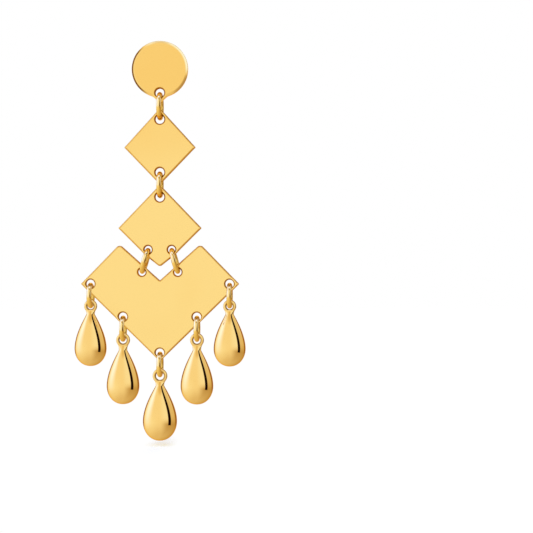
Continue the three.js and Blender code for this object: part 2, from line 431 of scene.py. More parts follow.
@dataclass
class Shell:
    """A closed surface put together from grids, in millimetres.

    Attributes:
        points: arrays of places.
        normals: arrays of the surface's directions at those places.
        faces: the point numbers of each face.
        patches: the number of the patch that each face belongs to, all wound alike.
        finishes: the number of each face's finish.
        painted_lights: arrays of how much painted shade each place gets, up to 1, or painted highlight, down
            to -1.
        count: how many points there are.
    """

    points: list[np.ndarray] = field(default_factory=list)
    normals: list[np.ndarray] = field(default_factory=list)
    faces: list[tuple[int, ...]] = field(default_factory=list)
    patches: list[int] = field(default_factory=list)
    finishes: list[int] = field(default_factory=list)
    painted_lights: list[np.ndarray] = field(default_factory=list)
    count: int = 0

    def add_points(
        self, points: np.ndarray, normals: np.ndarray, patina: np.ndarray | None = None
    ) -> np.ndarray:
        """Adds points with their normals.

        Args:
            points: places, in an array whose last axis is X, Y, Z.
            normals: the surface's outward direction at each of them.
            patina: how much painted shade or painted highlight each of them gets, if any does.

        Returns:
            The new points' numbers, in the shape of the given array.
        """
        shape = points.shape[:-1]
        numbers = self.count + np.arange(math.prod(shape)).reshape(shape)
        self.points.append(points.reshape(-1, 3))
        self.normals.append(normals.reshape(-1, 3))
        self.painted_lights.append(np.zeros(numbers.size) if patina is None else patina.reshape(-1))
        self.count += numbers.size
        return numbers

    def add_patch(self, faces: list[tuple[int, ...]], finishes: list[int] | None = None) -> None:
        """Adds faces that are all wound the same way.

        Args:
            faces: the point numbers of each face.
            finishes: the number of each face's finish, if it isn't the first everywhere.
        """
        number = self.patches[-1] + 1 if self.patches else 0
        self.faces.extend(faces)
        self.patches.extend([number] * len(faces))
        self.finishes.extend([0] * len(faces) if finishes is None else finishes)

    def add_grid(
        self,
        points: np.ndarray,
        normals: np.ndarray,
        wrap_rows: bool = False,
        finishes: np.ndarray | None = None,
        patina: np.ndarray | None = None,
    ) -> np.ndarray:
        """Adds a grid whose columns close on themselves.

        Each face joins four neighbours: this row and the next, this column and the next.

        Args:
            points: rows x columns x 3 places.
            normals: rows x columns x 3 outward directions.
            wrap_rows: whether the last row joins the first, as on a ring.
            finishes: the finish of each row of faces, if it isn't the first everywhere.
            patina: how much painted shade or painted highlight each point gets, if any does.

        Returns:
            The grid's point numbers, rows x columns.
        """
        numbers = self.add_points(points, normals, patina)
        here = numbers if wrap_rows else numbers[:-1]
        above = np.roll(numbers, -1, axis=0) if wrap_rows else numbers[1:]
        quads = np.stack([here, np.roll(here, -1, 1), np.roll(above, -1, 1), above], axis=-1)
        each = None if finishes is None else np.repeat(finishes, quads.shape[1]).tolist()
        self.add_patch([tuple(quad) for quad in quads.reshape(-1, 4).tolist()], each)
        return numbers

    def add_fan(self, rim: np.ndarray, point: np.ndarray, normal: np.ndarray) -> None:
        """Closes a pole: one triangle from each step of the rim, given by its numbers, to the point."""
        pole = int(self.add_points(point.reshape(1, 3), normal.reshape(1, 3))[0])
        self.add_patch([(int(a), int(b), pole) for a, b in zip(rim, np.roll(rim, -1))])

    def add_flat(self, loops: list[np.ndarray]) -> None:
        """Closes a flat face that may have holes.

        Args:
            loops: point numbers of its outer edge, then of each hole's edge.
        """
        places = np.concatenate(self.points)
        order = np.concatenate(loops)
        edges = [[Vector(places[i]) for i in loop] for loop in loops]
        self.add_patch([tuple(int(order[i]) for i in triangle) for triangle in tessellate_polygon(edges)])

    def build(self, name: str, materials: list[bpy.types.Material]) -> bpy.types.Object:
        """Makes the mesh object, with every face turned outwards and exact normals.

        A patch that points against the normals of its own corners is turned over.

        Args:
            name: the object's name.
            materials: its finishes, in the order of their numbers.

        Returns:
            The new object, at the origin, unturned and unscaled.
        """
        places = np.concatenate(self.points)
        normals = np.concatenate(self.normals)
        normals /= np.linalg.norm(normals, axis=1, keepdims=True)
        corners = np.array([(f[0], f[1], f[2]) for f in self.faces])
        side_a = places[corners[:, 1]] - places[corners[:, 0]]
        side_b = places[corners[:, 2]] - places[corners[:, 0]]
        agreement = (np.cross(side_a, side_b) * normals[corners].sum(axis=1)).sum(axis=1)
        outward = np.bincount(self.patches, weights=agreement)[self.patches] >= 0
        faces = [f if keep else f[::-1] for f, keep in zip(self.faces, outward)]

        mesh = bpy.data.meshes.new(name)
        mesh.from_pydata((places * MM).tolist(), [], faces)
        mesh.polygons.foreach_set("use_smooth", np.ones(len(faces), dtype=bool))
        for material in materials:
            mesh.materials.append(material)
        mesh.polygons.foreach_set("material_index", np.array(self.finishes, dtype=np.int32))
        patina = mesh.attributes.new("patina", "FLOAT", "POINT")
        patina.data.foreach_set("value", np.concatenate(self.painted_lights).astype(np.float32))
        mesh.normals_split_custom_set_from_vertices(normals.tolist())
        mesh.update()
        piece = bpy.data.objects.new(name, mesh)
        bpy.context.scene.collection.objects.link(piece)
        return piece


@dataclass(frozen=True)
class Hole:
    """A round hole in a plate.

    Attributes:
        x: its centre's X.
        z: its centre's Z.
        radius: the radius of its wall.
    """

    x: float
    z: float
    radius: float


@dataclass(frozen=True)
class Corner:
    """One corner of a plate's outline.

    Attributes:
        x: its X before it is rounded.
        z: its Z.
        radius: radius of its rounding.
    """

    x: float
    z: float
    radius: float


@dataclass
class Outline:
    """A closed line in the plane of a plate, with the direction out of the metal at each point.

    Attributes:
        places: n x 2 array of X and Z.
        outward: n x 2 array of unit directions.
    """

    places: np.ndarray
    outward: np.ndarray

    @staticmethod
    def arc(x: float, z: float, radius: float, start: float, end: float, convex: bool = True) -> "Outline":
        """Points along a circular arc, one about every three degrees.

        Args:
            x: the centre's X.
            z: the centre's Z.
            radius: the arc's radius.
            start: angle of its first point, in radians from +X towards +Z.
            end: angle of its last point.
            convex: whether the metal is on the centre's side.

        Returns:
            The arc as an open outline.
        """
        steps = max(6, math.ceil(abs(end - start) / math.radians(3)))
        angles = np.linspace(start, end, steps + 1)
        spokes = np.stack([np.cos(angles), np.sin(angles)], axis=1)
        return Outline(np.array([x, z]) + radius * spokes, spokes if convex else -spokes)

    @staticmethod
    def join(parts: list["Outline"]) -> "Outline":
        """Puts arcs end to end.

        Straight sides run between those that don't touch. Where two do, one point is enough.

        Args:
            parts: the arcs, in order.

        Returns:
            The closed outline.
        """
        places = np.concatenate([part.places for part in parts])
        outward = np.concatenate([part.outward for part in parts])
        apart = np.linalg.norm(places - np.roll(places, 1, axis=0), axis=1) > TOUCHING
        return Outline(places[apart], outward[apart])

    def dense(self, step: float) -> "Outline":
        """The same closed line with its straight sides cut into even lengths.

        Args:
            step: the longest length that is left, in millimetres.

        Returns:
            The line, each new point between its neighbours in place and direction.
        """
        lengths = np.linalg.norm(np.roll(self.places, -1, axis=0) - self.places, axis=1)
        cuts = np.maximum(1, np.ceil(lengths / step)).astype(int)
        which = np.repeat(np.arange(len(cuts)), cuts)
        share = ((np.arange(len(which)) - (np.cumsum(cuts) - cuts)[which]) / cuts[which])[:, None]
        both = np.hstack([self.places, self.outward])
        mixed = (1 - share) * both[which] + share * np.roll(both, -1, axis=0)[which]
        places, outward = mixed[:, :2], mixed[:, 2:]
        return Outline(places, outward / np.linalg.norm(outward, axis=1, keepdims=True))

    @staticmethod
    def around(hole: Hole) -> "Outline":
        """A hole's closed edge, whose outward direction points to the hole's centre."""
        circle = Outline.arc(hole.x, hole.z, hole.radius, 0.0, 2 * math.pi, convex=False)
        return Outline(circle.places[:-1], circle.outward[:-1])

    @staticmethod
    def rounded(corners: list[Corner]) -> "Outline":
        """A polygon with rounded corners.

        Each corner is replaced by the arc that touches both of its sides. The arc's centre lies on
        the corner's bisector, its radius divided by the sine of half the corner's angle away.

        Args:
            corners: the corners, anticlockwise as seen from the front.

        Returns:
            The closed outline.
        """
        parts = []
        for i, corner in enumerate(corners):
            at = np.array([corner.x, corner.z])
            before, after = corners[i - 1], corners[(i + 1) % len(corners)]
            back = np.array([before.x, before.z]) - at
            on = np.array([after.x, after.z]) - at
            back, on = back / np.linalg.norm(back), on / np.linalg.norm(on)
            half = math.acos(float(back @ on)) / 2
            bisector = (back + on) / np.linalg.norm(back + on)
            centre = at + bisector * corner.radius / math.sin(half)
            spokes = [at + side * corner.radius / math.tan(half) - centre for side in (back, on)]
            start, end = (math.atan2(spoke[1], spoke[0]) for spoke in spokes)
            turn = (end - start + math.pi) % (2 * math.pi) - math.pi
            convex = float(on[0] * back[1] - on[1] * back[0]) > 0
            parts.append(Outline.arc(centre[0], centre[1], corner.radius, start, start + turn, convex))
        return Outline.join(parts)


def both_sides(right_half: tuple[Corner, ...]) -> list[Corner]:
    """Adds the mirrored left half to corners given from top to bottom, and turns all anticlockwise."""
    left = [replace(corner, x=-corner.x) for corner in right_half if corner.x > 0]
    return [*left, *reversed(right_half)]


# ---------------------------------------------------------------- pieces


@dataclass(frozen=True)
class EdgeSection:
    """The section of a worked edge, from the flat face out to the wall.

    Attributes:
        turns: how far the surface has turned sideways at each of its nine points, in degrees.
        lengths: the lengths of the eight steps between them, against one another.
    """

    turns: tuple[float, ...]
    lengths: tuple[float, ...]

    def inset_and_depth(self) -> tuple[np.ndarray, np.ndarray]:
        """How far inside the wall and behind the face each point is, for a reach of one.

        Each step runs at right angles to the mean of the directions at its two ends.

        Returns:
            Insets and depths, each in a column.
        """
        turns, lengths = np.radians(self.turns), np.array(self.lengths)
        means = (turns[1:] + turns[:-1]) / 2
        outward = np.concatenate([[0.0], np.cumsum(lengths * np.cos(means))])
        depth = np.concatenate([[0.0], np.cumsum(lengths * np.sin(means))])
        return (1 - outward / outward[-1])[:, None], (depth / outward[-1])[:, None]


# Tumbling rounds an edge evenly. Coining presses a narrow slanted band round it, with its own light.
TUMBLED = EdgeSection(
    turns=(0.0, 11.25, 22.5, 33.75, 45.0, 56.25, 67.5, 78.75, 90.0),
    lengths=(1.0,) * 8,
)
COINED = EdgeSection(
    turns=(0.0, 13.0, 22.0, 22.0, 22.0, 45.0, 60.0, 75.0, 90.0),
    lengths=(7.0, 5.0, 20.0, 20.0, 4.0, 3.0, 3.0, 3.0),
)
POLISHED = 11.25  # how far round a tumbled edge the face's polish reaches, in degrees
WHOLLY_BUFFED = 90.0  # the same of an edge whose wall is polished too
EDGE_STEP = 0.15  # the longest face along a plate's edge
ROUNDED_SHARE = 0.9  # how much of the metal between two walls their roundings may take


@dataclass
class Sheet:
    """A punched plate of sheet metal with softly rounded edges.

    Attributes:
        name: the piece's name.
        thickness: the sheet's thickness.
        edge: how far in from the outer edge the rounding that tumbling gave it reaches.
        rim: how far out from each hole its rounding reaches.
        holes: the holes punched in it.
        buffed: how far round the outer edge the face's polish reaches, in degrees.
        section: how the outer edge is worked.
    """

    name: str
    thickness: float
    edge: float
    rim: float
    holes: list[Hole]
    buffed: float = POLISHED
    section: EdgeSection = TUMBLED

    def wall(
        self, outline: Outline, reach: np.ndarray, section: EdgeSection
    ) -> tuple[np.ndarray, np.ndarray]:
        """The metal's edge, carried along an outline.

        The profile is the section out of the front face, the straight wall, and the section again
        back into the rear face. Each point lies inside the outline by the profile's inset.

        Args:
            outline: the line that the wall follows.
            reach: the section's width at each of its points.
            section: how the edge is worked.

        Returns:
            Places and normals, profile steps x outline points x 3.
        """
        turns = np.radians(section.turns)[:, None]
        inwards, behind = section.inset_and_depth()
        half = self.thickness / 2
        inset = reach * np.concatenate([inwards, inwards[::-1]])
        depth = np.concatenate([reach * behind - half, half - reach * behind[::-1]])
        sideways = np.concatenate([np.sin(turns), np.sin(turns[::-1])])
        backward = np.concatenate([-np.cos(turns), np.cos(turns[::-1])])

        places = outline.places[None] - inset[..., None] * outline.outward[None]
        spread = sideways[..., None] * outline.outward[None]
        ny = np.broadcast_to(backward, places.shape[:2])
        points = np.stack([places[..., 0], HANG_Y + depth, places[..., 1]], axis=-1)
        normals = np.stack([spread[..., 0], ny, spread[..., 1]], axis=-1)
        return points, normals

    def room(self, line: Outline, walls: np.ndarray) -> np.ndarray:
        """How far in from each point of a line a rounding may reach before it meets another.

        A circle that touches the line at the point from inside the metal, and just reaches a point
        of another wall, has that point's distance squared over twice its depth for its radius. The
        smallest such circle of a point leaves that much room.

        Args:
            line: the wall's own line.
            walls: n x 2 places on every wall of the plate.

        Returns:
            The share of that room that a rounding may take, at each of the line's points.
        """
        apart = line.places[:, None] - walls[None]
        depth = (apart * line.outward[:, None]).sum(axis=-1)
        inside = depth > TOUCHING
        circles = np.where(inside, (apart**2).sum(axis=-1) / np.where(inside, 2 * depth, 1.0), np.inf)
        return ROUNDED_SHARE * circles.min(axis=1)

    @staticmethod
    def sheared(buffed: float) -> np.ndarray:
        """1 for the rows of a wall's faces that keep the cut finish, darkened with painted shade, 0 for those
        that are buffed.
        """
        rounding = (np.array(TUMBLED.turns[:-1]) >= buffed).astype(int)
        return np.concatenate([rounding, [int(buffed < WHOLLY_BUFFED)], rounding[::-1]])

    def patina(self, outline: Outline) -> np.ndarray | None:
        """The outer wall's painted shade and painted highlight: none on a plain plate."""
        return None

    def shell(self, outline: Outline) -> Shell:
        """Builds the plate: its outer wall, its holes' walls, and the two flat faces between them.

        Args:
            outline: the plate's outer edge.

        Returns:
            The plate's surface.
        """
        shell = Shell()
        outline = outline.dense(EDGE_STEP)
        holes = [Outline.around(hole) for hole in self.holes]
        walls = np.concatenate([line.places for line in (outline, *holes)])
        outer = self.wall(outline, np.minimum(self.edge, self.room(outline, walls)), self.section)
        rings = [shell.add_grid(*outer, finishes=self.sheared(self.buffed), patina=self.patina(outline))]
        for hole in holes:
            inner = self.wall(hole, np.minimum(self.rim, self.room(hole, walls)), TUMBLED)
            # the holes' walls take the punched finish, darkened with painted shade
            rings.append(shell.add_grid(*inner, finishes=2 * self.sheared(POLISHED)))
        shell.add_flat([ring[0] for ring in rings])
        shell.add_flat([ring[-1] for ring in rings])
        return shell


@dataclass
class Plate(Sheet):
    """A plate whose outline is a polygon with rounded corners.

    Attributes:
        corners: the right half's corners, from top to bottom.
    """

    corners: tuple[Corner, ...] = ()

    def build(self, materials: list[bpy.types.Material]) -> bpy.types.Object:
        """Builds the plate as one object, in its sheet, sheared and punched finishes."""
        return self.shell(Outline.rounded(both_sides(self.corners))).build(self.name, materials)


@dataclass
class Stud(Sheet):
    """The stud: a disc with a pointed tab below it, and the ear post soldered to its back.

    Attributes:
        radius: the disc's radius.
        tab_tip_z: where the tab's straight sides would meet.
        tab_slope: how steeply those sides rise, in degrees.
        tab_tip_radius: rounding of the tab's point.
        fillet: radius of the hollow where the tab runs into the disc.
        post_radius: radius of the ear post.
        post_length: how far the post reaches behind the disc.
        post_buried: how deep its root is in the disc.
        solder_radius: radius of the solder fillet round the post's root.
    """

    radius: float = 5.35
    tab_tip_z: float = -6.45
    tab_slope: float = 43.0
    tab_tip_radius: float = 0.4
    fillet: float = 1.5
    post_radius: float = 0.42
    post_length: float = 11.0
    post_buried: float = 0.3
    solder_radius: float = 0.8

    def outline(self) -> Outline:
        """The disc's rim, the two hollow fillets and the tab's rounded tip, anticlockwise.

        Each fillet's centre is one fillet radius outside the tab's side, and one disc radius plus
        one fillet radius from the disc's centre.

        Returns:
            The closed outline.
        """
        slope = math.radians(self.tab_slope)
        along = np.array([math.cos(slope), math.sin(slope)])
        outside = np.array([math.sin(slope), -math.cos(slope)])
        start = np.array([0.0, self.tab_tip_z]) + self.fillet * outside
        lean = float(start @ along)
        reach = self.radius + self.fillet
        fillet = start + along * (-lean - math.sqrt(lean**2 - float(start @ start) + reach**2))
        meets = math.atan2(fillet[1], fillet[0])
        tip_z = self.tab_tip_z + self.tab_tip_radius / math.cos(slope)
        side = math.pi / 2 + slope
        return Outline.join(
            [
                Outline.arc(0.0, 0.0, self.radius, meets, math.pi - meets),
                Outline.arc(-fillet[0], fillet[1], self.fillet, -meets, math.pi - side, convex=False),
                Outline.arc(0.0, tip_z, self.tab_tip_radius, -math.pi / 2 - slope, -math.pi / 2 + slope),
                Outline.arc(fillet[0], fillet[1], self.fillet, side, math.pi + meets, convex=False),
            ]
        )

    def patina(self, outline: Outline) -> np.ndarray:
        """The disc's rim: a painted highlight over its top and right, painted shade on its left and lower
        right.

        Angles run from +X towards +Z round the disc's middle. How far inside the wall a row lies
        says whether it is on the coined band's inner or outer half. Just inside the painted shade on the
        left the rim gets a little painted highlight too.

        Args:
            outline: the line that the wall follows.

        Returns:
            The painted shade and highlight, profile steps x outline points.
        """
        angle = np.degrees(np.arctan2(outline.places[:, 1], outline.places[:, 0]))
        inwards = self.section.inset_and_depth()[0][:, 0]
        inset = np.concatenate([inwards, inwards[::-1]])
        # painted highlight over the top and right; painted shade on the left and lower right
        bright = between(angle, (-22, 8), (108, 130))
        left = between(np.mod(angle, 360), (122, 145), (225, 248))
        lower_right = between(angle, (-66, -48), (-20, 2))
        inner = smooth_step(-inset, -1.0, -0.8)
        outer = smooth_step(-inset, -0.75, -0.5)
        return (
            np.outer(1.3 * outer - 0.3 * inner, left)
            + np.outer(0.45 * smooth_step(-inset, -0.8, -0.5), lower_right)
            - np.outer(0.3 * inner + 0.7 * outer, bright)
        )

    def post(self, shell: Shell) -> None:
        """Adds the post: a solder fillet, a straight pin and a rounded end, turned about the Y axis.

        Its profile is a radius for each depth behind the disc. A quarter circle, hollow outwards,
        widens it at the root, and another quarter circle closes its end.

        Args:
            shell: the surface that gets the post.
        """
        hollow = self.solder_radius - self.post_radius
        straight_end = self.post_length - self.post_radius
        turn = np.linspace(0, math.pi / 2, 9)
        fillet = self.post_radius + hollow * (1 - np.sin(turn))
        tip = self.post_radius * np.cos(turn[:-1])
        radius = np.concatenate([[self.solder_radius], fillet, tip])[:, None]
        behind_fillet = hollow * (1 - np.cos(turn))
        behind_tip = straight_end + self.post_radius * np.sin(turn[:-1])
        depth = np.concatenate([[-self.post_buried], behind_fillet, behind_tip])[:, None]
        sideways = np.concatenate([[1.0], np.cos(turn[::-1]), np.cos(turn[:-1])])[:, None]
        backward = np.concatenate([[0.0], np.sin(turn[::-1]), np.sin(turn[:-1])])[:, None]

        around = full_turn(48)
        cosine, ones, sine = np.cos(around), np.ones_like(around), np.sin(around)
        points = np.stack([radius * cosine, depth * ones, radius * sine], axis=-1)
        normals = np.stack([sideways * cosine, backward * ones, sideways * sine], axis=-1)
        pin = shell.add_grid(points, normals)
        shell.add_fan(pin[-1], np.array([0.0, self.post_length, 0.0]), np.array([0.0, 1.0, 0.0]))
        shell.add_fan(pin[0], np.array([0.0, -self.post_buried, 0.0]), np.array([0.0, -1.0, 0.0]))

    def build(self, materials: list[bpy.types.Material]) -> bpy.types.Object:
        """Builds the disc and its post as one object.

        Args:
            materials: its sheet, sheared and punched finishes.

        Returns:
            The new object.
        """
        shell = self.shell(self.outline())
        self.post(shell)
        return shell.build(self.name, materials)


@dataclass
class JumpRing:
    """A closed ring of round wire that hangs across the plates, in the plane of Y and Z.

    Attributes:
        name: the piece's name.
        x: the centre's X.
        z: the centre's Z.
        outer: outside radius.
        wire: the wire's radius.
        splay: how far its foot leans to +X, in degrees.
        dark_line_at: how far round the wire, from the side facing out towards +X, a painted dark line runs.
        dark_line_half: half the painted dark line's width, in degrees round the wire too.
    """

    name: str
    x: float
    z: float
    outer: float
    wire: float = 0.46
    splay: float = 0.0
    dark_line_at: float = 28.0
    dark_line_half: float = 10.0

    def patina(self, around: np.ndarray, across: np.ndarray) -> np.ndarray:
        """How much painted shade or painted highlight the wire gets.

        Where it bears on the plates, at its top and foot on the side that faces its centre, painted
        shade darkens it. The rest of that side gets a little painted shade, and the side that faces out
        gets a painted highlight above the foot. On that side a fine dark line is painted, a painted
        reflection of something dark.

        Args:
            around: the angles round the ring, in a column, from +Y towards +Z.
            across: the angles round the wire, in a row, from the side that faces out towards +X.

        Returns:
            The painted shade and highlight, ring steps x wire steps.
        """
        rise, swell = np.sin(around), np.cos(across)
        # painted shade where the ring bears on the plates, and a little on its inner side
        contact_shade = 0.65 * smooth_step(np.abs(rise), 0.72, 0.96) * smooth_step(-swell, -0.4, 0.5)
        inside = 0.15 * smooth_step(-swell, -0.1, 0.8)
        # painted highlight on the outer side above the foot
        above_foot = between(rise, (-0.2, 0.0), (0.7, 0.92))
        towards_x = 0.65 + 0.35 * smooth_step(np.sin(across), 0.6, 0.75)
        painted_outer_highlight = towards_x * smooth_step(swell, -0.2, 0.3) * above_foot
        # a painted dark line on the outer side, a painted reflection
        dark_line_across = np.abs(np.degrees(across) - self.dark_line_at) < self.dark_line_half
        dark_line_along = between(rise, (-0.22, -0.08), (0.5, 0.7))
        painted_dark_line = dark_line_across * dark_line_along * (1 - 0.6 * smooth_step(rise, 0.0, 0.5))
        return np.maximum(contact_shade, inside) - painted_outer_highlight * (1 - painted_dark_line) + painted_dark_line

    def build(self, materials: list[bpy.types.Material]) -> bpy.types.Object:
        """Builds the ring, leant about the Y axis.

        Args:
            materials: its wire finish.

        Returns:
            The new object.
        """
        around, across, points, normals = ring_surface(self.outer - self.wire, self.wire)
        lean = math.radians(self.splay)
        cosine, sine = math.cos(lean), math.sin(lean)
        turn = np.array([[cosine, 0, -sine], [0, 1, 0], [sine, 0, cosine]])
        points = points @ turn.T + np.array([self.x, HANG_Y, self.z])
        shell = Shell()
        shell.add_grid(points, normals @ turn.T, wrap_rows=True, patina=self.patina(around, across))
        return shell.build(self.name, materials)


@dataclass
class Teardrop:
    """A round cast teardrop with a cast loop that faces the front.

    Attributes:
        name: the piece's name.
        x: the loop centre's X.
        z: the loop centre's Z.
        loop: the loop's outside radius.
        neck: how far below the loop's centre the neck is.
        widest: how far below it the body is widest.
        bottom: how far below it the body ends.
        radius: the body's radius at its widest.
        loop_wire: radius of the loop's metal.
        neck_radius: half the neck's width.
        base_pull: how far the base's curve is pulled out along the bottom, as a share of the radius,
            and down from the widest place, as a share of the base's height.
        shoulder_pull: how far the shoulder's curve is pulled up from the widest place, and down from
            the neck, both as shares of the shoulder's height.
    """

    name: str
    x: float
    z: float
    loop: float
    neck: float
    widest: float
    bottom: float
    radius: float
    loop_wire: float = 0.33
    neck_radius: float = 0.78
    base_pull: tuple[float, float] = (0.62, 0.528)
    shoulder_pull: tuple[float, float] = (0.454, 0.03)

    def profile(self) -> tuple[np.ndarray, np.ndarray]:
        """The body's half width for each height, from its bottom up to inside the loop.

        Two cubic curves meet where the body is widest, both upright there: a full base below, and a
        shoulder above that runs nearly straight into the neck. From the neck a fillet goes on up: it
        starts upright and ends where it touches the loop's outside circle.

        Returns:
            Half widths, and heights below the loop's centre as negative numbers.
        """
        rise, fall = self.widest - self.neck, self.bottom - self.widest
        base = np.array(
            [
                [0.0, -self.bottom],
                [self.base_pull[0] * self.radius, -self.bottom],
                [self.radius, -self.widest - self.base_pull[1] * fall],
                [self.radius, -self.widest],
            ]
        )
        shoulder = np.array(
            [
                [self.radius, -self.widest],
                [self.radius, -self.widest + self.shoulder_pull[0] * rise],
                [self.neck_radius, -self.neck - self.shoulder_pull[1] * rise],
                [self.neck_radius, -self.neck],
            ]
        )
        t = np.linspace(0, 1, 49)[:, None]
        weights = np.concatenate([(1 - t) ** 3, 3 * t * (1 - t) ** 2, 3 * t**2 * (1 - t), t**3], axis=1)
        fillet = (self.neck**2 - self.loop**2 + self.neck_radius**2) / (2 * (self.loop - self.neck_radius))
        centre = np.array([self.neck_radius + fillet, -self.neck])
        turn = np.linspace(0, math.atan2(-centre[1], centre[0]), 17)[1:]
        root = centre + fillet * np.stack([-np.cos(turn), np.sin(turn)], axis=1)
        line = np.concatenate([(weights @ base)[1:], (weights @ shoulder)[1:], root])
        return line[:, 0], line[:, 1]

    def body(self, shell: Shell) -> None:
        """Adds the body: the profile turned about its upright axis.

        The width widens again above the neck, but the depth doesn't. From where the shoulder is
        steepest sideways it goes on straight, along its tangent, up to the loop's metal, and ends
        there in a quarter of an ellipse.

        Args:
            shell: the surface that gets the body.
        """
        width, height = self.profile()
        slope = -np.gradient(width, height) * (height > -self.widest)
        join = int(np.argmax(slope))
        tangent = width[join] - slope[join] * (np.minimum(height, self.loop_wire - self.loop) - height[join])
        past = np.clip((height + self.loop - self.loop_wire) / self.loop_wire, 0.0, 0.99)
        depth = np.where(np.arange(len(width)) <= join, width, tangent * np.sqrt(1 - past**2))
        around = full_turn(128)
        ones = np.ones_like(around)
        columns = (width, np.sin(around)), (depth, np.cos(around)), (height, ones)
        points = np.stack([np.outer(*column) for column in columns], axis=-1)
        along = np.gradient(points, axis=0)
        round_it = np.roll(points, -1, axis=1) - np.roll(points, 1, axis=1)
        normals = np.cross(along, round_it)
        inwards = (normals[..., :2] * points[..., :2]).sum(axis=-1, keepdims=True) < 0
        normals = np.where(inwards, -normals, normals)
        place = np.array([self.x, HANG_Y, self.z])
        rows = shell.add_grid(points + place, normals)
        down, up = np.array([0.0, 0.0, -1.0]), np.array([0.0, 0.0, 1.0])
        shell.add_fan(rows[0], place + np.array([0.0, 0.0, -self.bottom]), down)
        shell.add_fan(rows[-1], place + np.array([0.0, 0.0, height[-1]]), up)

    def cast_loop(self, shell: Shell) -> None:
        """Adds the loop: a ring of round metal whose centre line is a circle that faces the front.

        It hangs by the inside of its top. Painted shade darkens it there, and less all round its two edges.

        Args:
            shell: the surface that gets the loop.
        """
        around, across, points, normals = ring_surface(self.loop - self.loop_wire, self.loop_wire)
        facing_front = [1, 0, 2]  # X and Y change places
        points = points[..., facing_front] + np.array([self.x, HANG_Y, self.z])
        swell = np.cos(across) * np.ones_like(around)
        # painted shade where the loop hangs on its ring, and round its two edges
        contact_shade = 0.8 * smooth_step(np.sin(around), 0.6, 0.95) * smooth_step(-swell, -0.5, 0.6)
        edges = 0.7 * smooth_step(-swell, -0.1, 0.5) + 0.4 * smooth_step(swell, 0.7, 0.95)
        patina = np.maximum(contact_shade, edges)
        shell.add_grid(points, normals[..., facing_front], wrap_rows=True, patina=patina)

    def build(self, materials: list[bpy.types.Material]) -> bpy.types.Object:
        """Builds body and loop as one object.

        Args:
            materials: its cast finish.

        Returns:
            The new object.
        """
        shell = Shell()
        self.body(shell)
        self.cast_loop(shell)
        return shell.build(self.name, materials)


# ---------------------------------------------------------------- the earring


class RingEnd(Enum):
    """The end of a hanging ring that runs through a hole, as a sign along Z."""

    TOP = 1
    FOOT = -1


@dataclass(frozen=True)
class Drop:
    """One teardrop with the ring that carries it.

    Attributes:
        place: where it hangs, as its pieces' names say.
        x: X of its ring and its teardrop.
        ring_z: Z of its ring's centre.
        ring_outer: its ring's outside radius.
        loop: the outside radius of the teardrop's loop.
        neck: how far below the loop's centre the neck is.
        widest: how far below it the body is widest.
        bottom: how far below it the body ends.
        radius: the body's radius at its widest.
    """

    place: str
    x: float
    ring_z: float
    ring_outer: float
    loop: float
    neck: float
    widest: float
    bottom: float
    radius: float


